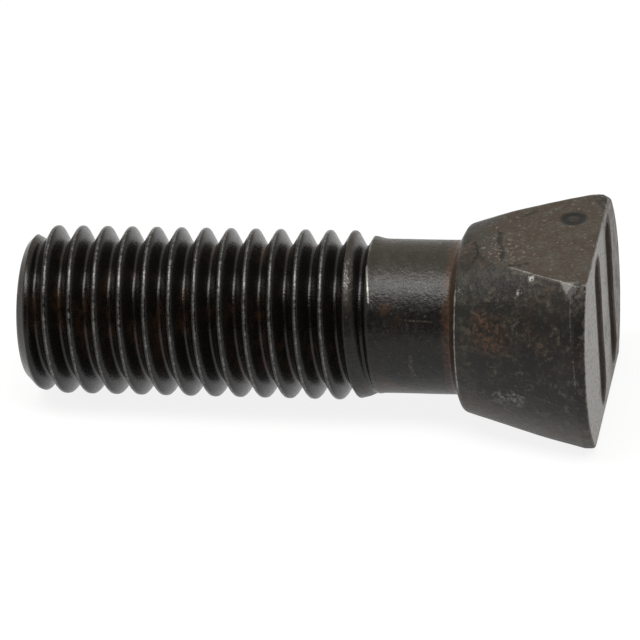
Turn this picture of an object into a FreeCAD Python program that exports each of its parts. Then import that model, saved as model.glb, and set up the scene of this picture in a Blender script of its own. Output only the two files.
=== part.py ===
import FreeCAD, Part
import math
import os

import Sketcher

# Plow bolt: a rolled metric thread, a plain shank and a cone head with two flats.
# The body is drawn with its axis on X, the tip at X = 0 and its flats facing up and down.
# It is then laid on its lower flat, where it tips forward until a thread crest meets the ground.

NODE = "plow_bolt"

# Driving dimensions: name, value in millimetres, degrees or turns, and what it measures.
DIMENSIONS = [
    ("length", 40.0, "tip to end face"),
    ("head_length", 10.0, "foot of the head's shoulder to end face"),
    ("plain_length", 5.1, "plain shank, run-out to shoulder"),
    ("runout_length", 2.3, "fall of the crests to the plain shank"),
    ("pitch", 1.75, "thread pitch"),
    ("major_diameter", 11.7, "over the thread crests"),
    ("minor_diameter", 9.62, "at the thread roots"),
    ("crest_flat", 0.3, "width of a thread crest"),
    ("flank_angle", 30.0, "each flank, from square to the axis"),
    ("cutter_clearance", 0.08, "how far the groove's section stands outside the crests"),
    ("groove_lead", 1.6, "the groove starts this far ahead of the tip, or more"),
    ("groove_stop", 1.15, "the groove's full depth ends this far ahead of the plain shank"),
    ("runout_turns", 0.6, "turns in which the groove rises out"),
    ("runout_angle", 30.0, "rise of the groove as it runs out"),
    ("tip_diameter", 9.66, "flat of the tip"),
    ("bevel_diameter", 11.15, "where the tip's steep bevel meets the softer one"),
    ("tip_bevel", 0.75, "length of the steep bevel"),
    ("tip_length", 1.9, "tip to the first full crest"),
    ("shank_diameter", 10.62, "plain shank"),
    ("shoulder_length", 0.48, "slanted shoulder, along the axis"),
    ("small_diameter", 12.95, "small end of the cone"),
    ("rim_diameter", 18.0, "rim of the head"),
    ("rim_width", 0.75, "straight band of the rim"),
    ("across_flats", 12.85, "between the two flats"),
    ("ramp_length", 1.2, "small end of the cone to the straight run of a flat"),
    ("ramp_angle", 6.0, "fall of a flat's ramp towards the shank"),
    ("flat_radius", 0.2, "worn edges along the flats"),
    ("edge_bevel", 0.25, "worn edges round the head"),
    ("mark_width", 1.6, "width of an end groove"),
    ("mark_length", 10.2, "length of an end groove"),
    ("mark_depth", 0.4, "depth of an end groove"),
    ("mark_front", -1.4, "front end groove, from the axis"),
    ("mark_back", 4.2, "back end groove, from the axis"),
    ("ring_back", 2.1, "punched ring, from the end face"),
    ("ring_side", 2.75, "punched ring, from the axis"),
    ("ring_outer", 1.75, "outside of the punched ring"),
    ("ring_inner", 0.85, "inside of the punched ring"),
    ("ring_depth", 0.12, "depth of the punched ring"),
    ("cut_margin", 1.0, "how far a cut reaches past the metal"),
]
NEAR = 1e-3

# Places along the axis that follow from the sizes, as the sketches use them.
SHANK_END = "(sizes.length - sizes.head_length)"
SHANK_START = f"({SHANK_END} - sizes.plain_length)"
CREST_END = f"({SHANK_START} - sizes.runout_length)"
GROOVE_END = f"({SHANK_START} - sizes.groove_stop)"
THREAD_TURNS = f"ceil(({GROOVE_END} + sizes.groove_lead) / sizes.pitch)"
GROOVE_START = f"({GROOVE_END} - {THREAD_TURNS} * sizes.pitch)"
CONE_START = f"({SHANK_END} + sizes.shoulder_length)"
FLAT_START = f"({CONE_START} + sizes.ramp_length)"


class Places:
    """The same places as numbers, in millimetres from the tip."""

    def __init__(self, size):
        self.shank_end = size.length - size.head_length
        self.shank_start = self.shank_end - size.plain_length
        self.crest_end = self.shank_start - size.runout_length
        self.groove_end = self.shank_start - size.groove_stop
        turns = math.ceil((self.groove_end + size.groove_lead) / size.pitch)
        self.groove_start = self.groove_end - turns * size.pitch
        self.cone_start = self.shank_end + size.shoulder_length
        self.flat_start = self.cone_start + size.ramp_length


def make_sheet(doc):
    """Writes the driving dimensions into a sheet, each under its own name."""
    sheet = doc.addObject("Spreadsheet::Sheet", "sizes")
    for row, (alias, value, meaning) in enumerate(DIMENSIONS, start=1):
        sheet.set(f"A{row}", alias)
        sheet.set(f"B{row}", str(value))
        sheet.set(f"C{row}", meaning)
        sheet.setAlias(f"B{row}", alias)
    doc.recompute()
    return sheet


def point(x, y):
    """A point of a sketch."""
    return FreeCAD.Vector(x, y, 0)


def new_sketch(body, name, role):
    """An empty sketch on one of the body's origin planes."""
    sketch = body.newObject("Sketcher::SketchObject", name)
    plane = next(feature for feature in body.Origin.OriginFeatures if feature.Role == role)
    sketch.AttachmentSupport = (plane, [""])
    sketch.MapMode = "FlatFace"
    return sketch


def bind(sketch, constraint, name, expression):
    """Adds a named constraint whose value follows the sheet."""
    index = sketch.addConstraint(constraint)
    sketch.renameConstraint(index, name)
    sketch.setExpression(f"Constraints.{name}", expression)


def hold(sketch, kind, holder, value, name, expression):
    """Holds a point, given as its geometry and end, at a distance from the sketch's origin."""
    geometry, end = holder
    if abs(value) < NEAR:
        return
    bind(sketch, Sketcher.Constraint(kind, -1, 1, geometry, end, value), name, expression)


def close_outline(sketch, corners):
    """Straight lines round the corners, each held at its own place: name, x and y with their expressions."""
    spots = [point(x, y) for _, x, _, y, _ in corners]
    runs = zip(spots, spots[1:] + spots[:1])
    lines = [sketch.addGeometry(Part.LineSegment(start, end), False) for start, end in runs]
    for k, (name, x, x_expression, y, y_expression) in enumerate(corners):
        sketch.addConstraint(Sketcher.Constraint("Coincident", lines[k - 1], 2, lines[k], 1))
        hold(sketch, "DistanceX", (lines[k], 1), x, f"{name}_x", x_expression)
        hold(sketch, "DistanceY", (lines[k], 1), y, f"{name}_y", y_expression)


def turned_outline(body, size):
    """Half the section of the blank: tip, crests, run-out, shank, shoulder, cone, rim and end face."""
    tip = size.tip_diameter / 2
    bevel = size.bevel_diameter / 2
    crest = size.major_diameter / 2
    shank = size.shank_diameter / 2
    small = size.small_diameter / 2
    rim = size.rim_diameter / 2
    at = Places(size)
    corners = [
        ("tip_edge", 0.0, "", tip, "sizes.tip_diameter / 2"),
        ("tip_bevel", size.tip_bevel, "sizes.tip_bevel", bevel, "sizes.bevel_diameter / 2"),
        ("crest_start", size.tip_length, "sizes.tip_length", crest, "sizes.major_diameter / 2"),
        ("crest_end", at.crest_end, CREST_END, crest, "sizes.major_diameter / 2"),
        ("shank_start", at.shank_start, SHANK_START, shank, "sizes.shank_diameter / 2"),
        ("shank_end", at.shank_end, SHANK_END, shank, "sizes.shank_diameter / 2"),
        ("shoulder_top", at.cone_start, CONE_START,
         small - size.edge_bevel, "sizes.small_diameter / 2 - sizes.edge_bevel"),
        ("cone_start", at.cone_start + size.edge_bevel, f"{CONE_START} + sizes.edge_bevel",
         small, "sizes.small_diameter / 2"),
        ("cone_end", size.length - size.rim_width, "sizes.length - sizes.rim_width",
         rim, "sizes.rim_diameter / 2"),
        ("rim_end", size.length - size.edge_bevel, "sizes.length - sizes.edge_bevel",
         rim, "sizes.rim_diameter / 2"),
        ("face_edge", size.length, "sizes.length", rim - size.edge_bevel,
         "sizes.rim_diameter / 2 - sizes.edge_bevel"),
    ]
    spots = [point(x, y) for _, x, _, y, _ in corners]
    foot = point(0, 0)
    face_middle = point(size.length, 0)

    sketch = new_sketch(body, "turned_outline", "XZ_Plane")
    tip_face = sketch.addGeometry(Part.LineSegment(foot, spots[0]), False)
    runs = [
        sketch.addGeometry(Part.LineSegment(start, end), False) for start, end in zip(spots, spots[1:])
    ]
    end_face = sketch.addGeometry(Part.LineSegment(spots[-1], face_middle), False)
    axis = sketch.addGeometry(Part.LineSegment(face_middle, foot), False)
    chain = [tip_face, *runs, end_face, axis]
    for first, second in zip(chain, chain[1:]):
        sketch.addConstraint(Sketcher.Constraint("Coincident", first, 2, second, 1))
    for joint in (
        ("Coincident", tip_face, 1, -1, 1),
        ("Coincident", axis, 2, -1, 1),
        ("Vertical", tip_face),
        ("Vertical", end_face),
        ("Horizontal", axis),
    ):
        sketch.addConstraint(Sketcher.Constraint(*joint))

    holders = [(run, 1) for run in runs] + [(runs[-1], 2)]
    for holder, (name, x, x_expression, y, y_expression) in zip(holders, corners):
        hold(sketch, "DistanceX", holder, x, f"{name}_x", x_expression)
        hold(sketch, "DistanceY", holder, y, f"{name}_y", y_expression)
    return sketch


def turn_blank(body, size):
    """Turns the outline about the axis."""
    blank = body.newObject("PartDesign::Revolution", "blank")
    blank.Profile = turned_outline(body, size)
    blank.ReferenceAxis = (blank.Profile[0], ["H_Axis"])
    blank.Angle = 360
    body.Document.recompute()
    return blank


def groove_section(body, size, name, place, place_expression):
    """The thread groove's section: a narrow flat root between two flanks."""
    slope = math.tan(math.radians(size.flank_angle))
    root = size.minor_diameter / 2
    lid = size.major_diameter / 2 + size.cutter_clearance
    half_lid = (size.pitch - size.crest_flat) / 2 + size.cutter_clearance * slope
    half_root = half_lid - (lid - root) * slope
    lid_expression = "(sizes.major_diameter / 2 + sizes.cutter_clearance)"
    slope_expression = "tan(sizes.flank_angle * 1 deg)"
    spread_expression = f"sizes.cutter_clearance * {slope_expression}"
    half_lid_expression = f"((sizes.pitch - sizes.crest_flat) / 2 + {spread_expression})"
    height_expression = f"({lid_expression} - sizes.minor_diameter / 2)"
    half_root_expression = f"({half_lid_expression} - {height_expression} * {slope_expression})"
    corners = [
        ("left_root", place - half_root, f"{place_expression} - {half_root_expression}", root,
         "sizes.minor_diameter / 2"),
        ("right_root", place + half_root, f"{place_expression} + {half_root_expression}", root,
         "sizes.minor_diameter / 2"),
        ("right_lid", place + half_lid, f"{place_expression} + {half_lid_expression}", lid, lid_expression),
        ("left_lid", place - half_lid, f"{place_expression} - {half_lid_expression}", lid, lid_expression),
    ]
    sketch = new_sketch(body, name, "XZ_Plane")
    close_outline(sketch, corners)
    return sketch


def cut_groove(body, name, sketch, turns, angle):
    """Sweeps a groove's section along a right-hand helix about the axis."""
    groove = body.newObject("PartDesign::SubtractiveHelix", name)
    groove.Profile = sketch
    groove.ReferenceAxis = (sketch, ["H_Axis"])
    groove.Mode = "pitch-turns-angle"
    groove.LeftHanded = False
    groove.Reversed = False
    groove.setExpression("Pitch", "sizes.pitch")
    groove.setExpression("Turns", turns)
    groove.setExpression("Angle", angle)
    body.Document.recompute()
    return groove


def cut_thread(body, size):
    """The thread: turns of full depth, then a part turn in which the groove rises out."""
    at = Places(size)
    section = groove_section(body, size, "thread_section", at.groove_start, GROOVE_START)
    cut_groove(body, "thread", section, THREAD_TURNS, "0")
    section = groove_section(body, size, "runout_section", at.groove_end, GROOVE_END)
    return cut_groove(body, "runout", section, "sizes.runout_turns", "sizes.runout_angle")


def cut_flats(body, size):
    """Two flats along the axis, cut across the head above and below, each with a ramp at its front."""
    sketch = new_sketch(body, "flats_outline", "XZ_Plane")
    low = Places(size).shank_end - size.cut_margin
    start = Places(size).flat_start
    high = size.length + size.cut_margin
    inner = size.across_flats / 2
    drop = (start - low) * math.tan(math.radians(size.ramp_angle))
    outer = size.rim_diameter / 2 + size.cut_margin
    low_expression = f"{SHANK_END} - sizes.cut_margin"
    high_expression = "sizes.length + sizes.cut_margin"
    drop_expression = f"({FLAT_START} - {SHANK_END} + sizes.cut_margin) * tan(sizes.ramp_angle * 1 deg)"
    for label, side, sign in (("upper", 1, ""), ("lower", -1, "-")):
        inner_expression = f"{sign}(sizes.across_flats / 2)"
        front_expression = f"{sign}(sizes.across_flats / 2 - {drop_expression})"
        outer_expression = f"{sign}(sizes.rim_diameter / 2 + sizes.cut_margin)"
        close_outline(sketch, [
            (f"{label}_front", low, low_expression, side * (inner - drop), front_expression),
            (f"{label}_start", start, FLAT_START, side * inner, inner_expression),
            (f"{label}_back", high, high_expression, side * inner, inner_expression),
            (f"{label}_back_outer", high, high_expression, side * outer, outer_expression),
            (f"{label}_front_outer", low, low_expression, side * outer, outer_expression),
        ])
    flats = body.newObject("PartDesign::Pocket", "flats")
    flats.Profile = sketch
    flats.Midplane = True
    flats.setExpression("Length", "sizes.rim_diameter + 2 * sizes.cut_margin")
    body.Document.recompute()
    return flats


def wear_flats(body, size, flats):
    """The worn edges where the flats meet the cone and the rim."""
    flat = size.across_flats / 2
    start = Places(size).flat_start

    def along_flat(edge):
        box = edge.BoundBox
        level = abs(abs(box.ZMin) - flat) < NEAR and box.ZLength < NEAR
        return level and box.XLength > NEAR and box.XMax > start + NEAR

    numbered = enumerate(flats.Shape.Edges, start=1)
    edges = [f"Edge{k}" for k, edge in numbered if not edge.Degenerated and along_flat(edge)]
    wear = body.newObject("PartDesign::Fillet", "worn_flats")
    wear.Base = (flats, edges)
    wear.setExpression("Radius", "sizes.flat_radius")
    body.Document.recompute()
    return wear


def cut_end_marks(body, size):
    """Two plain upright grooves in the end face, with rounded ends."""
    sketch = new_sketch(body, "marks_outline", "YZ_Plane")
    sketch.setExpression("AttachmentOffset.Base.z", "sizes.length")
    reach = (size.mark_length - size.mark_width) / 2
    reach_expression = "(sizes.mark_length - sizes.mark_width) / 2"
    half = size.mark_width / 2
    marks = (("front", size.mark_front, "sizes.mark_front"), ("back", size.mark_back, "sizes.mark_back"))
    for label, side, place in marks:
        ends = ((half, -reach), (half, reach), (-half, reach), (-half, -reach))
        corners = [point(side + x, y) for x, y in ends]
        right = sketch.addGeometry(Part.LineSegment(corners[0], corners[1]), False)
        top = sketch.addGeometry(Part.Arc(corners[1], point(side, reach + half), corners[2]), False)
        left = sketch.addGeometry(Part.LineSegment(corners[2], corners[3]), False)
        foot = sketch.addGeometry(Part.Arc(corners[3], point(side, -reach - half), corners[0]), False)
        outline = (right, top, left, foot)
        for k, edge in enumerate(outline):
            sketch.addConstraint(Sketcher.Constraint("Tangent", outline[k - 1], 2, edge, 1))
        sketch.addConstraint(Sketcher.Constraint("Vertical", left))
        sketch.addConstraint(Sketcher.Constraint("Vertical", right))
        hold(sketch, "DistanceX", (top, 3), side, f"{label}_side", place)
        hold(sketch, "DistanceY", (top, 3), reach, f"{label}_top", reach_expression)
        hold(sketch, "DistanceY", (foot, 3), -reach, f"{label}_foot", f"-{reach_expression}")
        bind(sketch, Sketcher.Constraint("Radius", top, half), f"{label}_half", "sizes.mark_width / 2")
    grooves = body.newObject("PartDesign::Pocket", "end_marks")
    grooves.Profile = sketch
    grooves.setExpression("Length", "sizes.mark_depth")
    body.Document.recompute()
    return grooves


def cut_punched_ring(body, size):
    """A shallow punched ring near the back of the upper flat."""
    sketch = new_sketch(body, "ring_outline", "XY_Plane")
    sketch.setExpression("AttachmentOffset.Base.z", "sizes.across_flats / 2")
    place = point(size.length - size.ring_back, size.ring_side)
    for label, across in (("outer", size.ring_outer), ("inner", size.ring_inner)):
        circle = sketch.addGeometry(Part.Circle(place, FreeCAD.Vector(0, 0, 1), across / 2), False)
        hold(sketch, "DistanceX", (circle, 3), place.x, f"{label}_x", "sizes.length - sizes.ring_back")
        hold(sketch, "DistanceY", (circle, 3), place.y, f"{label}_y", "sizes.ring_side")
        rim = Sketcher.Constraint("Diameter", circle, across)
        bind(sketch, rim, f"{label}_across", f"sizes.ring_{label}")
    ring = body.newObject("PartDesign::Pocket", "punched_ring")
    ring.Profile = sketch
    ring.setExpression("Length", "sizes.ring_depth")
    body.Document.recompute()
    return ring


def lay_down(body, size):
    """Lays the bolt on its lower flat's front and a thread crest, centred over the origin."""
    flat = size.across_flats / 2
    half_crest = size.crest_flat / 2
    at = Places(size)
    turns = math.ceil((size.tip_length + half_crest - at.groove_start) / size.pitch)
    crest_front = at.groove_start + turns * size.pitch - half_crest
    reach = at.flat_start - crest_front
    rise = math.degrees(math.atan2(flat - size.major_diameter / 2, reach))
    tilt = FreeCAD.Rotation(FreeCAD.Vector(0, 1, 0), -rise)
    body.Placement = FreeCAD.Placement(FreeCAD.Vector(0, 0, 0), tilt)
    box = body.Shape.optimalBoundingBox()
    body.Placement = FreeCAD.Placement(FreeCAD.Vector(-box.Center.x, -box.Center.y, -box.ZMin), tilt)


def make_bolt(doc, size):
    """The whole bolt, forged and rolled as one piece."""
    body = doc.addObject("PartDesign::Body", NODE)
    body.Label = NODE
    turn_blank(body, size)
    cut_thread(body, size)
    flats = cut_flats(body, size)
    wear_flats(body, size, flats)
    cut_end_marks(body, size)
    cut_punched_ring(body, size)
    lay_down(body, size)
    return body


def check(doc, body):
    """Stops if any feature failed, any cut removed nothing or the bolt isn't one valid solid."""
    for thing in doc.Objects:
        if "Invalid" in thing.State or "Error" in thing.State:
            raise ValueError(f"{thing.Name} has failed: {thing.State}")
    previous = None
    for feature in body.Group:
        if feature.TypeId.startswith("PartDesign::"):
            if previous is not None and feature.Shape.Volume == previous.Shape.Volume:
                raise ValueError(f"{feature.Name} changes nothing")
            previous = feature
    if body.Shape.isNull() or not body.Shape.isValid() or len(body.Shape.Solids) != 1:
        raise ValueError("the bolt isn't one valid solid")


def main():
    doc = FreeCAD.newDocument("plow_bolt")
    sheet = make_sheet(doc)
    bolt = make_bolt(doc, sheet)
    doc.recompute()
    check(doc, bolt)
    os.makedirs("parts", exist_ok=True)
    bolt.Shape.exportStep(f"parts/{bolt.Label}.step")
    print(bolt.Label, "volume", round(bolt.Shape.Volume, 2), "box", bolt.Shape.optimalBoundingBox())


main()
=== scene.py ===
import math
from typing import NamedTuple

import bpy
import numpy as np
from mathutils import Matrix, Vector, noise


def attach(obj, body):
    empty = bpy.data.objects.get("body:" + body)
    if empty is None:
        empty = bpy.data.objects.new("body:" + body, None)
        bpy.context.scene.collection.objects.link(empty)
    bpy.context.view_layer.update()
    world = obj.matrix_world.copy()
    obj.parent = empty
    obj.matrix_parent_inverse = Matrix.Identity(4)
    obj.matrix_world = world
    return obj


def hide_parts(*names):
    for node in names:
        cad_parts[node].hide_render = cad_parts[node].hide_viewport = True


bl_info = {
    "name": "Plow bolt",
    "version": (1, 0, 0),
    "blender": (4, 5, 0),
    "location": "3D View > Sidebar > Plow bolt",
    "description": "A worn plow bolt with a rolled thread, and the studio it lies in",
    "category": "Object",
}

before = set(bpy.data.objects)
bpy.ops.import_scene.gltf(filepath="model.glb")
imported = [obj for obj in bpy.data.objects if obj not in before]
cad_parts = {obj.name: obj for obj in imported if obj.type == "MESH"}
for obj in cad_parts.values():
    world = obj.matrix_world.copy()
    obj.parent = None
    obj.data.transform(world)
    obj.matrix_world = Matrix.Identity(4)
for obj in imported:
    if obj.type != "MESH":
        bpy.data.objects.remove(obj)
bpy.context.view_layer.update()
NODE = "plow_bolt"
MM = 0.001
FULL_TURN = 2 * math.pi

# Half the angle between a thread's flanks.
FLANK_LEAN = math.radians(30)
# The rows that climb with the thread end this far past the plain shank's start.
JOIN_PAST = 0.45 * MM
# The share of a quarter turn's columns that lie on the round of the head, and not on a flat.
ROUND_SHARE = 0.54
# Points closer than this are one point.
MERGE = 0.0008 * MM
# The widths over which the blank, the groove and the flats meet what they cut.
BLANK_SOFT = 0.1 * MM
GROOVE_SOFT = 0.07 * MM
FLAT_SOFT = 0.16 * MM
# The longest step of the head's profile.
HEAD_STEP = 0.19 * MM
# How far the skin wavers on the shank, on the head and on the end face.
SHANK_WAVER = 0.02 * MM
HEAD_WAVER = 0.012 * MM
FACE_WAVER = 0.03 * MM

# The shares of a thread's half root and half crest at which its profile turns, each with its height.
ROOT_TURNS = ((0.62, 0.004), (1.12, 0.055), (1.7, 0.165))
CREST_TURNS = ((2.35, 0.36), (1.32, 0.115), (0.72, 0.022))


class StruckCorner(NamedTuple):
    """A corner of the head that was struck flat, in millimetres on the bolt's own axis."""

    facing: tuple
    place: tuple
    reach: float
    fade: float
    shine: float


STRUCK_CORNERS = (
    StruckCorner((0.083, -0.608, 0.790), (38.62, -6.13, 6.20), reach=0.95, fade=0.03, shine=0.2),
    StruckCorner((0.24, 0.10, 0.97), (39.00, 4.80, 6.42), reach=2.6, fade=0.3, shine=0.0),
    StruckCorner((0.75, 0.30, 0.58), (39.93, 5.60, 6.15), reach=1.5, fade=0.3, shine=0.1),
)

# Marks in the finish, and places of painted glints and sparkle, each a place in millimetres on the bolt's own
# axis, a radius and a strength.
CONE_RUST = (((33.3, -6.7, 2.5), 2.0, 0.7), ((32.3, -6.3, 3.7), 1.0, 0.56))
CONE_KNOCKS = (((33.8, -7.1, -2.2), 0.9, 1.0), ((34.9, -7.5, -1.9), 1.0, 1.0), ((31.0, -4.7, 4.9), 0.6, 1.0))
# Painted glints: bare specks painted where the lamp's highlight falls on the cone's top and on the last
# crest.
CONE_GLINTS = (((35.3, -5.7, 5.4), 0.28, 1.0), ((36.1, -5.15, 6.2), 0.32, 1.0))
CREST_GLINTS = (((23.1, -3.0, 5.0), 1.9, 0.5),)
SHANK_RUST = (((25.8, -4.3, 3.1), 0.5, 1.0),)
# Where the painted sparkle of the lamp's highlight on the shank is strongest.
SHANK_SPARKLE = (((27.6, -3.3, 4.3), 2.6, 0.9),)
FLAT_PITS = (((33.4, -1.8, 6.4), 3.2, 1.0),)

# Cracks and scratches of the upper flat: how far they waver along and across, their places in millimetres
# along and across, and their width.
FLAT_CRACKS = (
    ((1, -1), ((33.2, 0.7), (33.4, -0.9), (33.85, -2.1), (33.8, -3.2)), 0.17),
    ((-1, 1), ((31.6, -0.5), (32.1, -2.1), (31.7, -3.0)), 0.13),
    ((1, 0), ((34.5, 2.8), (35.3, 3.6)), 0.12),
    ((0, 1), ((34.4, -3.9), (34.9, -3.9), (35.7, -3.6)), 0.12),
)


def length(name, description, default):
    """A length that a user may change, given in millimetres and kept in metres."""
    return bpy.props.FloatProperty(
        name=name, description=description, default=default * MM, unit="LENGTH", precision=5
    )


def angle(name, description, degrees):
    """An angle that a user may change."""
    return bpy.props.FloatProperty(
        name=name, description=description, default=math.radians(degrees), unit="ROTATION"
    )


def number(name, description, default):
    """A number, not below 0, that a user may change."""
    return bpy.props.FloatProperty(name=name, description=description, default=default, min=0.0)


def count(name, description, default, least):
    """A whole number that a user may change."""
    return bpy.props.IntProperty(name=name, description=description, default=default, min=least)


def colour(name, description, rgb):
    """A colour that a user may change."""
    return bpy.props.FloatVectorProperty(
        name=name, description=description, default=rgb, size=3, subtype="COLOR", min=0.0, max=1.0
    )


class BoltSizes(bpy.types.PropertyGroup):
    """Sizes of the bolt, along its own axis from the tip."""

    tip_x: length("Tip, along", "Middle of the tip's face, along the floor", -20.0119)
    tip_z: length("Tip, up", "Middle of the tip's face, above the floor", 5.7995)
    rise: angle("Rise", "How far the axis rises towards the head", 1.1328)
    full: length("Length", "Tip to end face", 40.0)
    pitch: length("Pitch", "Thread pitch", 1.75)
    phase: length("Phase", "Groove centre ahead of the tip, above the axis", -2.5)
    crest: length("Crest radius", "Axis to thread crests", 5.85)
    root: length("Root radius", "Axis to thread roots", 4.81)
    crest_width: length("Crest width", "Width of a crest", 0.3)
    tip_radius: length("Tip radius", "Flat of the tip", 4.83)
    bevel_radius: length("Bevel radius", "Where the tip's two bevels meet", 5.575)
    bevel_length: length("Bevel length", "Length of the tip's steep bevel", 0.75)
    tip_length: length("Tip length", "Tip to the first full crest", 1.9)
    runout_start: length("Crests end", "Where the crests begin to fall", 22.6)
    runout_end: length("Shank start", "Where the plain shank begins", 24.9)
    groove_end: length("Groove end", "Where the groove begins to rise out, above the axis", 23.75)
    runout_slope: angle("Groove rise", "Rise of the groove as it runs out", 30.0)
    shank: length("Shank radius", "Plain shank", 5.31)
    shank_end: length("Shank end", "Foot of the shoulder", 30.22)
    shoulder: length("Shoulder", "Slanted shoulder, along the axis", 0.48)
    small: length("Small end", "Radius of the cone's small end", 6.475)
    rim: length("Rim radius", "Rim of the head", 9.0)
    rim_width: length("Rim width", "Straight band of the rim", 0.75)
    flat: length("Flat", "Axis to a flat", 6.425)
    ramp_end: length("Ramp end", "Where a flat's front ramp ends", 31.68)
    ramp_slope: angle("Ramp slope", "Fall of the ramp towards the shank", 6.0)
    edge: length("Edge", "Rounding of the worn edges", 0.32)
    front_round: length("Front rounding", "Rounding of the flats' sides at the front", 1.5)
    mark_front: length("Front groove", "Front end groove, from the axis", -1.4)
    mark_back: length("Back groove", "Back end groove, from the axis", 4.2)
    mark_width: length("Groove width", "Width of an end groove", 1.6)
    mark_length: length("Groove length", "Length of an end groove", 10.2)
    mark_depth: length("Groove depth", "Depth of an end groove", 0.4)
    ring_along: length("Ring, along", "Middle of the punched ring, from the tip", 37.95)
    ring_side: length("Ring, aside", "Middle of the punched ring, from the axis", 2.68)
    ring_radius: length("Ring radius", "Middle of the ring's groove", 0.62)
    ring_width: length("Ring width", "Half the width of the ring's groove", 0.36)
    ring_depth: length("Ring depth", "Depth of the ring's groove", 0.12)


class BoltMesh(bpy.types.PropertyGroup):
    """How finely the bolt is divided."""

    columns: count("Columns", "Steps round the axis", 216, 64)
    face_rings: count("Face rings", "Rings of the end face", 52, 8)
    tip_rings: count("Tip rings", "Rings of the tip's face", 16, 4)


class SteelLook(bpy.types.PropertyGroup):
    """Colours of the worn steel."""

    oiled: colour("Oiled", "Thread, black with oil", (0.0030, 0.0026, 0.0020))
    shank: colour("Shank", "Dark forge scale on the shank", (0.0105, 0.0090, 0.0075))
    scale: colour("Scale", "Dark forge scale on the cone", (0.0040, 0.0034, 0.0022))
    # Pale also paints the sheen on top of the shank and cone, and their reflection of the floor underneath.
    pale: colour("Pale", "Rubbed grey-beige of the cone", (0.058, 0.048, 0.034))
    brown: colour("Brown", "Brown bloom on the flats", (0.039, 0.026, 0.016))
    grey: colour("Grey", "Grey bloom on the flats", (0.047, 0.039, 0.029))
    olive: colour("Olive", "Green-grey bloom at the head's front", (0.025, 0.024, 0.016))
    rust: colour("Rust", "Thin rust", (0.062, 0.026, 0.012))
    # Bare also paints the glints and sparkle of the lamp's highlight.
    bare: colour("Bare", "Bare metal on worn edges", (0.30, 0.29, 0.27))
    face: colour("End face", "Worn grey of the end face", (0.240, 0.230, 0.215))
    dirt: colour("Dirt", "Brown dirt in the end grooves", (0.018, 0.011, 0.006))


class StageSettings(bpy.types.PropertyGroup):
    """Camera, floor and lamps."""

    azimuth: angle("Azimuth", "Camera round the bolt, from the front", 12.641)
    elevation: angle("Elevation", "Camera above the bolt's axis", 30.187)
    roll: angle("Roll", "Camera's roll", -5.226)
    distance: length("Distance", "Camera to the middle of the bolt", 350.0)
    aim_right: length("Aim, right", "How far right of the bolt's middle the camera stands", 0.324)
    aim_up: length("Aim, up", "How far above the bolt's middle the camera stands", -0.403)
    pixels: number("Pixels", "Image pixels a millimetre at the bolt's middle", 14.514)
    floor: colour("Floor", "Pale floor", (0.9, 0.9, 0.9))
    tint: colour("Room tint", "Warm white of the room, as the bolt reflects it", (1.0, 0.965, 0.91))
    room: number("Room", "Light of the white room", 0.62)
    key: number("Key lamp", "Power of the lamp overhead", 2.2)
    flag_width: length("Cloth width", "Width of the black cloth behind the camera", 700.0)
    flag_height: length("Cloth height", "Height of the black cloth behind the camera", 370.0)


def to_row(points, s):
    """Points along the bolt's own axis, laid down in the row's frame."""
    cosine, sine = math.cos(s.rise), math.sin(s.rise)
    x, y, z = points[:, 0], points[:, 1], points[:, 2]
    return np.stack([s.tip_x + x * cosine - z * sine, y, s.tip_z + x * sine + z * cosine], axis=1)


def smooth_least(a, b, width):
    """The lesser of two lengths, with the corner between them rounded over a width."""
    near = np.maximum(width - np.abs(a - b), 0.0) / width
    return np.minimum(a, b) - near * near * width / 4


def eased(t):
    """0 to 1 with a soft start and end."""
    t = np.clip(t, 0.0, 1.0)
    return t * t * (3 - 2 * t)


def bump_at(off, width):
    """1 on a line, falling softly to 0 on both sides of it."""
    return np.exp(-((off / width) ** 2))


def rounded_line(corners, steps):
    """A line of straight runs whose corners, given as along, out and radius, are rounded."""
    line = [corners[0][:2]]
    for before, here, after in zip(corners, corners[1:], corners[2:]):
        at = Vector(here[:2])
        back = (Vector(before[:2]) - at).normalized()
        ahead = (Vector(after[:2]) - at).normalized()
        reach = here[2] / math.tan(back.angle(ahead) / 2)
        start, end = at + back * reach, at + ahead * reach
        for k in range(steps + 1):
            t = k / steps
            line.append(tuple(start * (1 - t) ** 2 + at * 2 * t * (1 - t) + end * t * t))
    return line


def divided(line, step):
    """A line with its long runs divided."""
    spots = [line[0]]
    for (xa, ra), (xb, rb) in zip(line, line[1:]):
        count = max(1, math.ceil(math.hypot(xb - xa, rb - ra) / step))
        for k in range(1, count + 1):
            t = k / count
            spots.append((xa + (xb - xa) * t, ra + (rb - ra) * t))
    return spots


def blank_radius(x, s):
    """The turned blank: the tip's bevels, the crests and the fall to the shank."""
    tip_places = [0.0, s.bevel_length, s.tip_length]
    tip = np.interp(x, tip_places, [s.tip_radius, s.bevel_radius, s.crest + 0.03 * MM])
    fall = np.interp(x, [s.runout_start, s.runout_end], [s.crest + 0.05 * MM, s.shank])
    return smooth_least(tip, fall, BLANK_SOFT)


def tooth(s):
    """One pitch of the thread from groove centre to groove centre: place along, and radius."""
    half_crest = s.crest_width / 2
    half_root = (s.pitch - s.crest_width) / 2 - (s.crest - s.root) * math.tan(FLANK_LEAN)
    middle = s.pitch / 2
    half = [(0.0, s.root)]
    half += [(half_root * share, s.root + height * MM) for share, height in ROOT_TURNS]
    half += [(middle - half_crest * share, s.crest - drop * MM) for share, drop in CREST_TURNS]
    other = [(s.pitch - x, r) for x, r in reversed(half[1:])]
    return half + [(middle, s.crest)] + other


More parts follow.
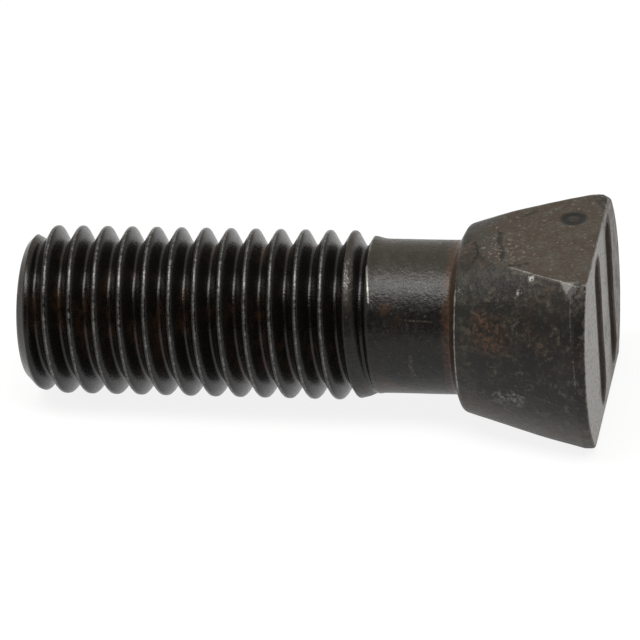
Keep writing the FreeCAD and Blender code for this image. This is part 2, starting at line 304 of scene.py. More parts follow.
class Rows:
    """Rows of points from the tip to the end face, with how worn and how deep in a groove each one is."""

    def __init__(self):
        self.rows = []

    def add(self, along, radius, angles, wear, deep):
        """Adds one row, whose values are one number or one for each point."""
        values = (along, radius, angles, wear, deep)
        self.rows.append([np.broadcast_to(value, angles.shape) for value in values])

    def points(self):
        """All points as x, y and z along the bolt's own axis, with their wear and depth."""
        x, r, a, wear, deep = (np.array(values) for values in zip(*self.rows))
        return x, r * np.cos(a), r * np.sin(a), wear, deep


def add_tip(rows, s, around, rings):
    """The tip's face, from its middle out to the tip's edge."""
    for k in range(rings):
        rows.add(0.0, s.tip_radius * k / rings, around, 0.0, 0.0)


def add_thread(rows, s, around, join):
    """Rows that climb with the thread, from a full turn below the tip to past the shank's start."""
    climb = around / FULL_TURN * s.pitch
    start = s.phase - s.pitch / 4
    first = -3 - math.ceil(start / s.pitch)
    last = math.ceil((join - start) / s.pitch) + 1
    for turns in range(first, last):
        for place, radius in tooth(s):
            centre = start + turns * s.pitch + climb
            x = centre + place
            groove_at = centre + (s.pitch if place > s.pitch / 2 else 0.0)
            groove = radius + np.maximum(groove_at - s.groove_end, 0.0) * math.tan(s.runout_slope)
            blank = blank_radius(x, s)
            r = smooth_least(blank, groove, GROOVE_SOFT)
            r = np.where(x < 0.0, s.tip_radius, np.where(x > join, s.shank, r))
            crest = np.clip((r - s.crest) / (0.045 * MM) + 1, 0, 1)
            lip = bump_at(blank - groove, 0.08 * MM) * (x > s.runout_end - 0.9 * MM)
            deep = np.clip((blank - r) / (s.crest - s.root), 0, 1)
            rows.add(np.clip(x, 0.0, join), r, around, np.maximum(crest, lip), deep)


def head_profile(s, join, rings):
    """The shank, head and end face: along, radius, axis to flat, and the share of the end face's size."""
    corners = [
        (join, s.shank, 0.0),
        (s.shank_end, s.shank, 0.3 * MM),
        (s.shank_end + s.shoulder, s.small, 0.6 * MM),
        (s.full - s.rim_width, s.rim, 0.35 * MM),
        (s.full, s.rim, s.edge),
        (s.full, s.rim - 1.0 * MM, 0.0),
    ]
    profile = []
    for along, out in divided(rounded_line(corners, 6), HEAD_STEP)[1:]:
        inset = max(0.0, s.rim - out) if along > s.full - s.rim_width else 0.0
        ramp = max(0.0, s.ramp_end - along) * math.tan(s.ramp_slope)
        profile.append((along, out, s.flat - inset - ramp, 1.0))
    _, edge_out, edge_flat, _ = profile[-1]
    for k in range(1, rings + 1):
        share = 1 - k / rings
        profile.append((s.full, edge_out * share, edge_flat * share, share))
    return profile


def head_angles(columns, s, out, flat):
    """Angles of a row's points, gathered where the flats meet the round."""
    quadrant = columns // 4
    step = np.arange(columns + 1) % columns
    quarter = step // quadrant
    t = (step % quadrant) / quadrant
    t = np.where(quarter % 2 == 1, 1 - t, t)
    if out > flat * s.small / s.flat * 0.999:
        corner = math.asin(min(1.0, flat / max(out, 1e-9)))
    else:
        corner = math.asin(s.flat / s.small)
    on_round = corner * (1 - (1 - np.minimum(t / ROUND_SHARE, 1.0)) ** 1.45)
    across_flat = np.clip((t - ROUND_SHARE) / (1 - ROUND_SHARE), 0.0, 1.0) ** 1.3
    chord = math.cos(corner) * (1 - across_flat)
    on_flat = np.arctan2(math.sin(corner), chord)
    a = np.where(t < ROUND_SHARE, on_round, on_flat)
    turned = [a, math.pi - a, math.pi + a, FULL_TURN - a]
    a = np.select([quarter == k for k in range(4)], turned)
    a[-1] = FULL_TURN
    return a


def add_head(rows, s, around, join, rings):
    """Rows from the shank over the head's edges to the middle of the end face."""
    for along, out, flat, share in head_profile(s, join, rings):
        blend = eased((along - join) / (s.shank_end - join))
        a = around * (1 - blend) + head_angles(len(around) - 1, s, out, flat) * blend
        reach = flat / np.maximum(np.abs(np.sin(a)), 1e-6)
        forward = 1 - eased((along - s.shank_end) / (4.8 * MM))
        soft = (FLAT_SOFT + s.front_round * forward * forward) * max(share, 1e-3)
        radius = smooth_least(out, reach, soft) if blend > 0.9 else out
        on_edge = share > 0.999
        kept = eased((along - 33.4 * MM) / (1.6 * MM)) * on_edge
        corner_near = bump_at(out - reach, 0.07 * MM) * kept
        rim_near = bump_at(along - s.full + 0.04 * MM, 0.09 * MM) * on_edge
        rows.add(along, radius, a, np.clip(corner_near * 0.75 + rim_near * 0.6, 0, 1), 0.0)


def grid_of_bolt(s, m):
    """The bolt's surface as rows and columns of points, closed by a last column on the first."""
    around = np.arange(m.columns + 1) / m.columns * FULL_TURN
    join = s.runout_end + JOIN_PAST
    rows = Rows()
    add_tip(rows, s, around, m.tip_rings)
    add_thread(rows, s, around, join)
    add_head(rows, s, around, join, m.face_rings)
    return rows.points()


def groove_shape(y, z, s, side):
    """How deep an end groove is at a place on the end face, 0 to 1."""
    half = s.mark_width / 2
    beyond = np.maximum(np.abs(z) - (s.mark_length / 2 - half), 0.0)
    off = np.hypot(y - side, beyond)
    return 1 - eased((off - half * 0.45) / (half * 0.75))


def struck_flat(x, y, z, corner):
    """The way a struck corner faces, and how far the blow pushed each point in."""
    facing = Vector(corner.facing).normalized()
    off = [value - place * MM for value, place in zip((x, y, z), corner.place)]
    over = sum(part * lean for part, lean in zip(off, facing))
    away = np.sqrt(sum(part * part for part in off)) / (corner.reach * MM)
    return facing, np.maximum(over, 0.0) * eased((1 - away) / corner.fade)


def worn(points, s):
    """The worn surface: end grooves, punched ring, struck corners and wavering skin."""
    x, y, z = points[:, 0].copy(), points[:, 1].copy(), points[:, 2].copy()
    face = x > s.full - 0.001 * MM
    mark = np.maximum(groove_shape(y, z, s, s.mark_front), groove_shape(y, z, s, s.mark_back)) * face
    x -= mark * s.mark_depth

    struck = np.zeros(len(x))
    for corner in STRUCK_CORNERS:
        facing, push = struck_flat(x, y, z, corner)
        x -= push * facing.x
        y -= push * facing.y
        z -= push * facing.z
        struck = np.maximum(struck, np.clip(push / (0.06 * MM), 0, 1) * corner.shine)

    ring = np.hypot(x - s.ring_along, y - s.ring_side) - s.ring_radius
    z -= (1 - eased(np.abs(ring) / s.ring_width)) * (z > s.flat - 0.2 * MM) * s.ring_depth

    on_head = eased((x - s.shank_end) / (1.0 * MM))
    on_shank = eased((x - s.runout_end) / (0.6 * MM))
    for k in np.flatnonzero(on_shank):
        place = Vector((x[k], y[k], z[k])) * 400
        amount = (noise.noise(place) - 0.35) * SHANK_WAVER * on_shank[k]
        amount += (noise.noise(place * 3.1) - 0.4) * HEAD_WAVER * on_head[k]
        out = math.hypot(y[k], z[k])
        if out > 1.0 * MM:
            y[k] += y[k] / out * amount
            z[k] += z[k] / out * amount
        if face[k]:
            x[k] += (noise.noise(place * 1.3) - 0.6) * FACE_WAVER
    return np.stack([x, y, z], axis=1), mark, struck


def pick_nothing():
    """Deselects everything, because the frame's nodes come in selected."""
    bpy.ops.object.select_all(action="DESELECT")


def make_bolt_mesh(s, m):
    """Adds a grid and rolls it up into the bolt, closed at its seam and at both ends."""
    x, y, z, wear, deep = grid_of_bolt(s, m)
    rows, columns = x.shape
    pick_nothing()
    bpy.ops.mesh.primitive_grid_add(x_subdivisions=rows - 1, y_subdivisions=columns - 1, size=1.0)
    bolt = bpy.context.object
    bolt.name = "worn_plow_bolt"
    mesh = bolt.data
    if len(mesh.vertices) != rows * columns:
        raise RuntimeError(f"the grid has {len(mesh.vertices)} points, not {rows * columns}")
    points, mark, struck = worn(np.stack([x.T.ravel(), y.T.ravel(), z.T.ravel()], axis=1), s)
    mesh.vertices.foreach_set("co", to_row(points, s).ravel())
    layers = {"wear": np.maximum(wear.T.ravel(), struck), "deep": deep.T.ravel(), "mark": mark}
    for name, values in layers.items():
        layer = mesh.attributes.new(name, "FLOAT", "POINT")
        layer.data.foreach_set("value", values.astype(np.float32))
    mesh.update()
    while mesh.uv_layers:
        mesh.uv_layers.remove(mesh.uv_layers[0])

    bpy.ops.object.mode_set(mode="EDIT")
    bpy.ops.mesh.select_all(action="SELECT")
    bpy.ops.mesh.remove_doubles(threshold=MERGE)
    bpy.ops.mesh.dissolve_degenerate(threshold=MERGE)
    bpy.ops.mesh.select_all(action="SELECT")
    bpy.ops.mesh.normals_make_consistent(inside=False)
    bpy.ops.object.mode_set(mode="OBJECT")
    bpy.ops.object.shade_smooth()
    return bolt


class Socket:
    """A shader value that takes part in Python expressions."""

    def __init__(self, tree, link):
        self.tree = tree
        self.link = link

    def _maths(self, operation, *values):
        return self.tree.add("ShaderNodeMath", {"operation": operation}, dict(enumerate(values)))

    def __add__(self, other):
        return self._maths("ADD", self, other)

    def __radd__(self, other):
        return self._maths("ADD", other, self)

    def __sub__(self, other):
        return self._maths("SUBTRACT", self, other)

    def __rsub__(self, other):
        return self._maths("SUBTRACT", other, self)

    def __mul__(self, other):
        return self._maths("MULTIPLY", self, other)

    def __rmul__(self, other):
        return self._maths("MULTIPLY", other, self)

    def __truediv__(self, other):
        return self._maths("DIVIDE", self, other)

    def __pow__(self, other):
        return self._maths("POWER", self, other)

    def least(self, other):
        """The lesser of two values."""
        return self._maths("MINIMUM", self, other)

    def most(self, other):
        """The greater of two values."""
        return self._maths("MAXIMUM", self, other)

    def size(self):
        """The value without its sign."""
        return self._maths("ABSOLUTE", self)

    def between(self, low, high):
        """0 below low, 1 above high, and a soft step between."""
        inputs = {"Value": self, "From Min": low, "From Max": high}
        return self.tree.add("ShaderNodeMapRange", {"interpolation_type": "SMOOTHSTEP"}, inputs)


class ShaderTree:
    """The nodes of a material or of the world."""

    def __init__(self, owner):
        owner.use_nodes = True
        self.nodes = owner.node_tree.nodes
        self.links = owner.node_tree.links

    def add(self, kind, settings=None, inputs=None, out=0):
        """Adds a node of any type: its settings first, then the values or links of its sockets."""
        node = self.nodes.new(kind)
        for key, value in (settings or {}).items():
            setattr(node, key, value)
        for key, value in (inputs or {}).items():
            self.feed(node.inputs[key], value)
        return Socket(self, node.outputs[out])

    def feed(self, socket, value):
        """Links a socket or sets its value."""
        if isinstance(value, Socket):
            self.links.new(value.link, socket)
        elif socket.type == "RGBA":
            socket.default_value = (*value, 1.0)
        else:
            socket.default_value = value

    def shade(self, values):
        """Feeds the material's shader and returns its output."""
        shader = self.nodes["Principled BSDF"]
        for name, value in values.items():
            self.feed(shader.inputs[name], value)
        return Socket(self, shader.outputs[0])

    def parts(self, vector):
        """The three numbers of a vector."""
        first = self.add("ShaderNodeSeparateXYZ", inputs={0: vector})
        return [Socket(self, output) for output in first.link.node.outputs]

    def mixed(self, factor, first, second):
        """One colour over another."""
        return self.add("ShaderNodeMix", {"data_type": "RGBA"}, {0: factor, 6: first, 7: second}, out=2)

    def cloud(self, place, scale, detail, rough, twist=0.0):
        """Noise from 0 to 1 at a scale, counted per metre."""
        inputs = {"Vector": place, "Scale": scale, "Detail": detail, "Roughness": rough, "Distortion": twist}
        return self.add("ShaderNodeTexNoise", inputs=inputs)

    def kept(self, name):
        """A number kept on the mesh's points."""
        return self.add("ShaderNodeAttribute", {"attribute_name": name}, out=2)

    def ray(self, kind):
        """1 for rays of one kind, such as those that the camera sends."""
        return self.add("ShaderNodeLightPath", out=kind)


def new_material(name):
    """A material and its nodes."""
    material = bpy.data.materials.new(name)
    return material, ShaderTree(material)


def stroke(u, v, spots, width):
    """1 along a line of places, given in millimetres, falling to 0 at a width."""
    total = None
    for (ua, va), (ub, vb) in zip(spots, spots[1:]):
        run_u, run_v = (ub - ua) * MM, (vb - va) * MM
        off_u, off_v = u - ua * MM, v - va * MM
        t = ((off_u * run_u + off_v * run_v) / (run_u**2 + run_v**2)).most(0.0).least(1.0)
        away = ((off_u - t * run_u) ** 2 + (off_v - t * run_v) ** 2) ** 0.5
        near = 1 - away.between(width * 0.25 * MM, width * MM)
        total = near if total is None else total.most(near)
    return total


class BoltShading:
    """Where a shaded point lies, the noises that break up the finish, and masks of the bolt's parts."""

    def __init__(self, tree, s):
        self.tree = tree
        turn = {
            "Vector": tree.add("ShaderNodeTexCoord", out="Object"),
            "Location": (s.tip_x, 0.0, s.tip_z),
            "Rotation": (0.0, -s.rise, 0.0),
        }
        self.place = tree.add("ShaderNodeMapping", {"vector_type": "TEXTURE"}, turn)
        self.along, self.across, self.up = tree.parts(self.place)

        self.broad = tree.cloud(self.place, 260.0, 3.0, 0.55, 0.3)
        self.blotch = tree.cloud(self.place, 900.0, 6.0, 0.7, 0.4)
        self.fine = tree.cloud(self.place, 3600.0, 5.0, 0.7)
        self.grit = tree.cloud(self.place, 9500.0, 3.0, 0.65)
        drawn = tree.add("ShaderNodeMapping", inputs={"Vector": self.place, "Scale": (1.0, 0.35, 0.35)})
        self.grain = tree.cloud(drawn, 2600.0, 5.0, 0.65, 0.5)
        self.lumps = tree.cloud(self.place, 1700.0, 1.5, 0.5, 0.3)
        self.crinkle = tree.cloud(self.place, 5200.0, 1.8, 0.5, 0.6)

        self.wear = tree.kept("wear")
        self.deep = tree.kept("deep")
        shank_begun = self.along.between(s.runout_end - 2.4 * MM, s.runout_end - 1.9 * MM)
        self.bare_shank = shank_begun * (1 - self.deep.between(0.06, 0.3))
        self.head = self.along.between(s.shank_end + 0.1 * MM, s.shank_end + 0.5 * MM)
        self.face = self.along.between(s.full - 0.06 * MM, s.full - 0.02 * MM).most(
            tree.kept("mark").between(0.02, 0.1)
        )
        ringed = self.marks((((s.ring_along / MM, s.ring_side / MM, 6.4), 1.6, 1.0),))
        self.on_flat = self.up.size().between(s.flat - 0.16 * MM, s.flat - 0.04 * MM).most(ringed) * self.head
        self.front = 1 - self.along.between(31.5 * MM, 34.0 * MM)
        # The underside, which the shank and the cone paint paler as a painted reflection of the floor.
        self.low = 1 - self.up.between(-5.2 * MM, -1.2 * MM)

    def marks(self, places):
        """The sum of round marks, each given as a place in millimetres, a radius and a strength."""
        total = 0.0
        for centre, radius, strength in places:
            inputs = {0: self.place, 1: tuple(value * MM for value in centre)}
            away = self.tree.add("ShaderNodeVectorMath", {"operation": "DISTANCE"}, inputs, out="Value")
            total = total + (1 - away.between(radius * 0.35 * MM, radius * MM)) * strength
        return total

    def end_dirt(self, s):
        """Dirt in the grooves of the end face."""
        beyond = (self.up.size() - (s.mark_length - s.mark_width) / 2).most(0.0)
        dirt = 0.0
        for side in (s.mark_front, s.mark_back):
            off = ((self.across - side) ** 2 + beyond**2) ** 0.5 + (self.fine - 0.5) * 0.2 * MM
            dirt = (1 - off.between(s.mark_width * 0.66, s.mark_width)).most(dirt)
        return dirt * self.face

    def cracks(self):
        """Cracks and scratches of the upper flat."""
        wander = (self.fine - 0.5) * 1.1 * MM
        cracks = 0.0
        for (wave_along, wave_across), spots, width in FLAT_CRACKS:
            u = self.along + wander * wave_along
            v = self.across + wander * wave_across
            cracks = stroke(u, v, spots, width).most(cracks)
        return cracks * self.up.between(5.9 * MM, 6.3 * MM) * self.grain.between(0.36, 0.46)

    def punched_ring(self, s):
        """The punched ring's groove, and its hollow middle."""
        above = self.up.between(5.9 * MM, 6.1 * MM)
        away = ((self.along - s.ring_along) ** 2 + (self.across - s.ring_side) ** 2) ** 0.5
        away = away + (self.fine - 0.5) * 0.3 * MM
        groove = 1 - (away - s.ring_radius).size().between(s.ring_width * 0.4, s.ring_width * 1.2)
        hollow = 1 - away.between(0.2 * MM, 0.8 * MM)
        return groove * above, hollow * above

    def edge_lines(self, s):
        """Thin bright lines along the near side of the head's front edge and of its rim."""
        front_line = 1 - (self.along - s.shank_end - 0.53 * MM).size().between(0.02 * MM, 0.10 * MM)
        front_line = front_line * (1 - self.up.between(4.2 * MM, 5.6 * MM))
        front_line = front_line * self.up.between(-3.6 * MM, -1.6 * MM)
        rim_off = self.along - s.full + s.rim_width + 0.3 * MM * self.up.between(0.0, 5.5 * MM)
        rim_line = 1 - rim_off.size().between(0.02 * MM, 0.12 * MM)
        rim_line = rim_line * (1 - self.on_flat) * self.up.between(-4.0 * MM, 1.0 * MM)
        near_side = 1 - self.across.between(-1.0 * MM, 0.0)
        return front_line.most(rim_line * 0.62) * near_side * (0.55 + 0.8 * (self.blotch - 0.2))

    def bright(self, s):
        """How far the steel is rubbed or struck bare, with bright lines along edges and the painted glints
        and sparkle of the lamp's highlight.
        """
        rubbed = self.wear.most(self.edge_lines(s))
        rubbed = rubbed + (self.fine - 0.5) * (1.1 + 0.3 * self.head) + (self.blotch - 0.5) * 0.5
        rubbed = (rubbed - 0.32 + 0.12 * self.head).between(0.1, 0.85) * (0.75 + 0.1 * self.head)

        # Painted highlight: bare specks are painted thicker where the lamp's highlight crosses the shank.
        sparkle = 0.3 + self.marks(SHANK_SPARKLE)
        specks = self.fine.between(0.57, 0.63) * self.grit.between(0.50, 0.58) * self.bare_shank * sparkle

        spread = (self.up - 5.82 * MM) * 0.95 - (self.along - 38.66 * MM).size()
        spread = spread + (self.fine - 0.5) * 0.4 * MM
        outside = 1 - self.across.between(-5.95 * MM, -5.80 * MM)
        struck = spread.between(-0.05 * MM, 0.08 * MM) * outside * self.head

        # Painted glints: bare specks where the lamp's highlight falls on the last crest and on the cone.
        on_crest = self.marks(CREST_GLINTS) * self.grit.between(0.50, 0.58) * self.bare_shank
        glints = ((self.marks(CONE_GLINTS) + on_crest) * self.fine.between(0.42, 0.52)).least(1.0)

        groove_edge = stroke(self.along, self.across, ((24.28, -1.9), (24.4, -2.6), (24.66, -4.1)), 0.09)
        groove_edge = groove_edge * self.up.between(2.0 * MM, 3.0 * MM)
        bright = rubbed * (1 - 0.25 * self.face) + specks * 0.35
        return bright.most(struck * 0.3).most(glints).most(groove_edge * 0.8).least(1.0)


def thread_colour(on, look):
    """Black oil, with thin rust in the roots."""
    stain = on.broad.between(0.46, 0.60) * (0.03 + 0.24 * on.deep * on.deep) * on.grain.between(0.40, 0.60)
    return on.tree.mixed(stain, look["oiled"], look["rust"])


def shank_colour(on, look):
    """Dark scale, painted paler on top and underneath as a reflection of the room and the floor, with a
    little rust and a few scratches.
    """
    skin = (on.grain * 0.6 + on.grit * 0.4).between(0.42, 0.62) * 0.8
    shank = on.tree.mixed(skin, look["oiled"], look["shank"])
    # Painted reflection: the top is painted paler for the white room it mirrors, and the underside for the
    # floor.
    painted_sheen = on.up.between(2.6 * MM, 5.0 * MM) * 0.32 + on.low * 0.14
    shank = on.tree.mixed(painted_sheen * (0.5 + on.grain), shank, look["pale"])
    rust = on.marks(SHANK_RUST) * on.fine.between(0.38, 0.56) + on.broad.between(0.56, 0.72) * 0.25
    shank = on.tree.mixed(rust.least(0.28), shank, look["rust"])
    scratch = stroke(on.along, on.up, ((27.2, 2.45), (28.9, 2.4)), 0.09)
    scratch = scratch * (1 - on.across.between(-4.0 * MM, -3.0 * MM))
    scrape = stroke(on.along, on.up, ((27.5, -0.1), (27.4, -0.9), (27.6, -1.7)), 0.22)
    scrape = scrape * on.fine.between(0.4, 0.5)
    scratched = (scratch + scrape) * (1 - on.across.between(-2.0 * MM, -1.0 * MM))
    return on.tree.mixed(scratched.least(1.0) * on.grit.between(0.40, 0.55) * 0.6, shank, look["pale"])


def cone_colour(on, look):
    """Dark scale rubbed grey-beige in patches, with a painted sheen on top and a painted floor reflection
    underneath, green-grey at the front, with rust and knocks.
    """
    mottle = on.blotch.between(0.47, 0.58) * (0.3 + 0.7 * on.fine.between(0.42, 0.56))
    scuffs = on.lumps.between(0.56, 0.64) * on.fine.between(0.44, 0.54)
    # Painted sheen: the cone's top is painted paler where the lamp's highlight falls.
    painted_sheen = on.up.between(3.4 * MM, 6.2 * MM) * 0.22 * (0.4 + mottle)
    # Of these, the underside's share is a painted reflection of the floor; the mottle and scuffs are rubbed
    # patches.
    rubbed = (mottle * 0.20 + scuffs * 0.45 + on.low * 0.40 + painted_sheen).least(0.9)
    cone = on.tree.mixed(rubbed, look["scale"], look["pale"])
    cone = on.tree.mixed(on.front * (0.15 + 0.5 * mottle), cone, look["olive"])
    rust = (on.marks(CONE_RUST) + on.broad.between(0.52, 0.66) * 0.5) * on.fine.between(0.42, 0.58)
    cone = on.tree.mixed(rust.least(1.0) * 0.7, cone, look["rust"])
    knocks = (on.marks(CONE_KNOCKS) * on.fine.between(0.46, 0.60)).least(1.0)
    return on.tree.mixed(knocks * 0.32, cone, look["bare"])


def flat_colour(on, look):
    """Brown and grey bloom, green-grey at the front, with dark pits and pale specks."""
    flat = on.tree.mixed(on.blotch.between(0.44, 0.57), look["brown"], look["grey"])
    flat = on.tree.mixed(on.grain.between(0.52, 0.66) * 0.45, flat, look["olive"])
    flat = on.tree.mixed(on.front * (0.45 + 0.5 * on.blotch.between(0.44, 0.56)), flat, look["olive"])
    pitted = on.marks(FLAT_PITS)
    dark = (on.fine - 0.06 * pitted).between(0.49, 0.60) * (0.35 + 0.5 * pitted)
    flat = on.tree.mixed(dark, flat, look["scale"])
    pale = (1 - (on.fine - 0.05 * pitted).between(0.31, 0.41)) * 0.35
    return on.tree.mixed(pale, flat, look["bare"])


def face_colour(on, look):
    """Worn grey, brown towards the far side."""
    face = on.tree.mixed(0.35 + 0.65 * on.fine.between(0.36, 0.50), look["grey"], look["face"])
    brown = on.across.between(1.0 * MM, 3.4 * MM) * (0.35 + 0.5 * on.blotch.between(0.42, 0.58))
    return on.tree.mixed(brown, face, look["brown"])


def bolt_colour(on, look, s):
    """The finishes of the bolt's parts laid over each other, without its marks."""
    colour_now = on.tree.mixed(on.bare_shank, thread_colour(on, look), shank_colour(on, look))
    tip = 1 - on.along.between(s.bevel_length * 0.7, s.bevel_length * 1.1)
    colour_now = on.tree.mixed(tip * (0.10 + 0.3 * on.fine.between(0.4, 0.6)), colour_now, look["brown"])
    head = on.tree.mixed(on.on_flat, cone_colour(on, look), flat_colour(on, look))
    colour_now = on.tree.mixed(on.head, colour_now, head)
    collar_along = on.along + (on.blotch - 0.5) * 0.5 * MM
    collar = collar_along.between(s.shank_end - 0.7 * MM, s.shank_end - 0.3 * MM) * (1 - on.head)
    colour_now = on.tree.mixed(collar * (0.2 + 0.45 * on.fine.between(0.42, 0.58)), colour_now, look["rust"])
    return on.tree.mixed(on.face, colour_now, face_colour(on, look))


def worn_steel(look, s):
    """Dark oxidised steel: oily thread, scaled shank and cone, brown-grey flats, bare edges and end face."""
    material, tree = new_material("worn_steel")
    on = BoltShading(tree, s)
    dirt = on.end_dirt(s)
    cracks = on.cracks()
    bright = on.bright(s)
    ring, hollow = on.punched_ring(s)
    pits = on.face * (1 - on.fine.between(0.38, 0.47)) + on.face * (1 - on.blotch.between(0.36, 0.44)) * 0.5

    base = tree.mixed(dirt * 0.96, bolt_colour(on, look, s), look["dirt"])
    base = tree.mixed(cracks * 0.75, base, look["oiled"])
    # The bare colour and the metal below also carry the painted glints and sparkle of the lamp's highlight.
    base = tree.mixed(bright, base, look["bare"])
    base = tree.mixed((ring * 0.9).most(hollow * 0.6), base, look["oiled"])

    metal = 0.8 * bright + 0.55 * on.face * (1 - dirt) * (1 - 0.8 * pits.least(1.0))
    rough = 0.25 + 0.10 * on.bare_shank + 0.11 * on.head + 0.10 * (on.blotch - 0.5) + 0.35 * (on.fine - 0.5)
    rough = rough + 0.4 * dirt + 0.22 * pits
    height = (
        (on.crinkle - 0.5) * (0.020 + 0.016 * on.bare_shank * (1 - 0.7 * on.face))
        + (on.lumps - 0.5) * (0.035 * on.bare_shank * (1 - 0.8 * on.face))
        + (on.fine - 0.5) * 0.012
        - ring * 0.03
        - cracks * 0.12
        - dirt * 0.02
        - pits * 0.01
    )
    bump = tree.add("ShaderNodeBump", inputs={"Height": height * MM, "Distance": 1.0, "Strength": 0.8})
    tree.shade(
        {
            "Base Color": base,
            "Metallic": metal.least(1.0),
            "Roughness": rough.most(0.12),
            "Specular IOR Level": 0.3,
            "Normal": bump,
        }
    )
    return material


class OBJECT_OT_plow_bolt(bpy.types.Operator):
    """Models the worn bolt in place of the plain solid."""

    bl_idname = "object.plow_bolt"
    bl_label = "Plow bolt"

    def execute(self, context):
        scene = context.scene
        sizes = scene.plow_bolt_sizes
        bolt = make_bolt_mesh(sizes, scene.plow_bolt_mesh)
        look = scene.plow_bolt_look
        colours = {name: tuple(getattr(look, name)) for name in look.__annotations__}
        bolt.data.materials.clear()
        bolt.data.materials.append(worn_steel(colours, sizes))
        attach(bolt, "root")
        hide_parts(NODE)
        return {"FINISHED"}


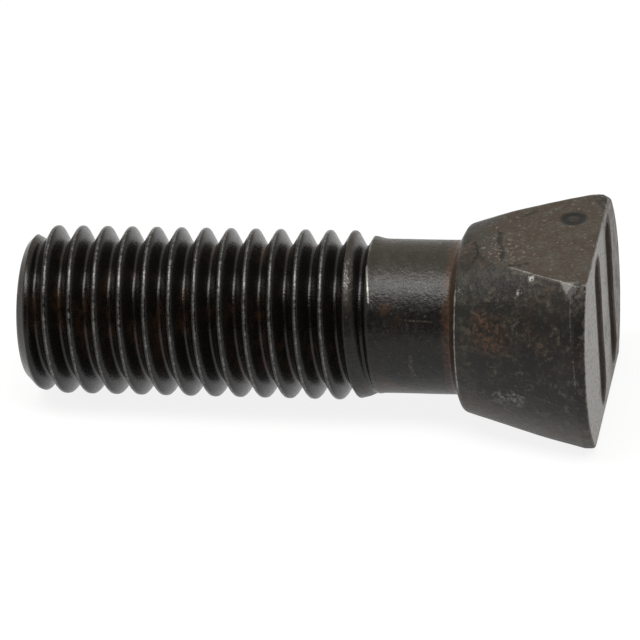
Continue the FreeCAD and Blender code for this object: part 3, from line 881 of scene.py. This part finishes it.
class SCENE_OT_plow_bolt_stage(bpy.types.Operator):
    """Sets the pale floor, the white room, the lamp, the camera and the black cloth behind it."""

    bl_idname = "scene.plow_bolt_stage"
    bl_label = "Stage"

    # The floor as the camera sees it is this far white by itself, and keeps the bolt's shadow in the rest.
    floor_glow = 0.86
    lamp_place = (-0.02, -0.10, 0.42)
    lamp_size = (0.50, 0.16)
    sensor_width = 36.0
    photo_pixels = 640
    flag_behind = 60 * MM

    def execute(self, context):
        scene = context.scene
        stage = scene.plow_bolt_stage
        self.add_floor(stage)
        self.add_room(scene, stage)
        self.add_lamp(stage)
        self.add_camera(scene, stage, scene.plow_bolt_sizes)
        scene.view_settings.view_transform = "Standard"
        return {"FINISHED"}

    def add_plane(self, name, material, place=(0, 0, 0), turn=(0, 0, 0), size=1.0):
        """A plane of the stage."""
        pick_nothing()
        bpy.ops.mesh.primitive_plane_add(size=size, location=place, rotation=turn)
        plane = bpy.context.object
        plane.name = name
        plane.data.materials.append(material)
        return plane

    def add_floor(self, stage):
        """A pale floor that the camera sees as nearly white."""
        material, tree = new_material("pale_floor")
        pale = tree.shade({"Base Color": stage.floor, "Roughness": 0.9, "Specular IOR Level": 0.1})
        seen = tree.ray("Is Camera Ray").most(tree.ray("Is Glossy Ray")).most(tree.ray("Is Transmission Ray"))
        white = tree.add("ShaderNodeEmission", inputs={"Color": (1, 1, 1), "Strength": 1.0})
        mixed = tree.add("ShaderNodeMixShader", inputs={0: seen * self.floor_glow, 1: pale, 2: white})
        tree.feed(tree.nodes["Material Output"].inputs["Surface"], mixed)
        self.add_plane("floor", material, size=3.0)

    def add_room(self, scene, stage):
        """White where it is seen, and a dimmer warm white where it lights the bolt."""
        world = bpy.data.worlds.new("studio")
        scene.world = world
        tree = ShaderTree(world)
        seen = tree.ray("Is Camera Ray").most(tree.ray("Is Transmission Ray"))
        background = tree.nodes["Background"]
        tree.feed(background.inputs["Color"], tree.mixed(seen, stage.tint, (1, 1, 1)))
        tree.feed(background.inputs["Strength"], stage.room + seen * (1 - stage.room))

    def add_lamp(self, stage):
        """A wide lamp overhead that faces the bolt."""
        pick_nothing()
        bpy.ops.object.light_add(type="AREA", location=self.lamp_place)
        lamp = bpy.context.object
        lamp.name = "overhead"
        lamp.data.shape = "RECTANGLE"
        lamp.data.size, lamp.data.size_y = self.lamp_size
        lamp.data.energy = stage.key
        lamp.rotation_euler = (-Vector(self.lamp_place)).to_track_quat("-Z", "Y").to_euler()

    def add_camera(self, scene, stage, sizes):
        """A camera at the photo's angle, which is given round the bolt's own axis."""
        azimuth, elevation, roll = stage.azimuth, stage.elevation, stage.roll
        away = Vector((
            math.sin(azimuth) * math.cos(elevation),
            -math.cos(azimuth) * math.cos(elevation),
            math.sin(elevation),
        ))
        level = (-away).cross(Vector((0, 0, 1))).normalized()
        upright = level.cross(-away)
        right = level * math.cos(roll) + upright * math.sin(roll)
        over = -level * math.sin(roll) + upright * math.cos(roll)
        middle = Vector((sizes.full / 2, 0, 0))
        place = middle + away * stage.distance + right * stage.aim_right + over * stage.aim_up

        tip = Vector((sizes.tip_x, 0, sizes.tip_z))
        laid = Matrix.Rotation(-sizes.rise, 3, "Y")
        turn = (laid @ Matrix((right, over, away)).transposed()).to_euler()
        bpy.ops.object.camera_add(location=tip + laid @ place, rotation=turn)
        camera = bpy.context.object
        camera.name = "photo_camera"
        camera.data.sensor_width = self.sensor_width
        camera.data.sensor_fit = "HORIZONTAL"
        camera.data.lens = stage.pixels * stage.distance / MM * self.sensor_width / self.photo_pixels
        camera.data.clip_start = 0.01
        camera.data.clip_end = 20.0
        scene.camera = camera
        behind = tip + laid @ (middle + away * (stage.distance + self.flag_behind))
        self.add_flag(stage, behind, turn)

    def add_flag(self, stage, place, turn):
        """A black cloth behind the camera, which darkens what faces it."""
        material, tree = new_material("black_cloth")
        tree.shade({"Base Color": (0.01, 0.01, 0.01), "Roughness": 0.95})
        flag = self.add_plane("flag", material, place, turn)
        flag.scale = (stage.flag_width, stage.flag_height, 1.0)
        flag.visible_camera = False


class VIEW3D_PT_plow_bolt(bpy.types.Panel):
    """Lists the bolt's settings and its operators."""

    bl_label = "Plow bolt"
    bl_idname = "VIEW3D_PT_plow_bolt"
    bl_space_type = "VIEW_3D"
    bl_region_type = "UI"
    bl_category = "Plow bolt"

    def draw(self, context):
        for operator in (OBJECT_OT_plow_bolt, SCENE_OT_plow_bolt_stage):
            self.layout.operator(operator.bl_idname)
        for name in GROUPS:
            group = getattr(context.scene, name)
            column = self.layout.column()
            for setting in group.__annotations__:
                column.prop(group, setting)


GROUPS = {
    "plow_bolt_sizes": BoltSizes,
    "plow_bolt_mesh": BoltMesh,
    "plow_bolt_look": SteelLook,
    "plow_bolt_stage": StageSettings,
}
CLASSES = (*GROUPS.values(), OBJECT_OT_plow_bolt, SCENE_OT_plow_bolt_stage, VIEW3D_PT_plow_bolt)


def register():
    """Registers the classes and hangs their settings on the scene."""
    for kind in CLASSES:
        bpy.utils.register_class(kind)
    for name, group in GROUPS.items():
        setattr(bpy.types.Scene, name, bpy.props.PointerProperty(type=group))


def unregister():
    """Takes back what register did."""
    for name in GROUPS:
        delattr(bpy.types.Scene, name)
    for kind in reversed(CLASSES):
        bpy.utils.unregister_class(kind)


def main():
    """Builds the bolt and its stage."""
    register()
    bpy.ops.object.plow_bolt()
    bpy.ops.scene.plow_bolt_stage()


if __name__ == "__main__":
    main()
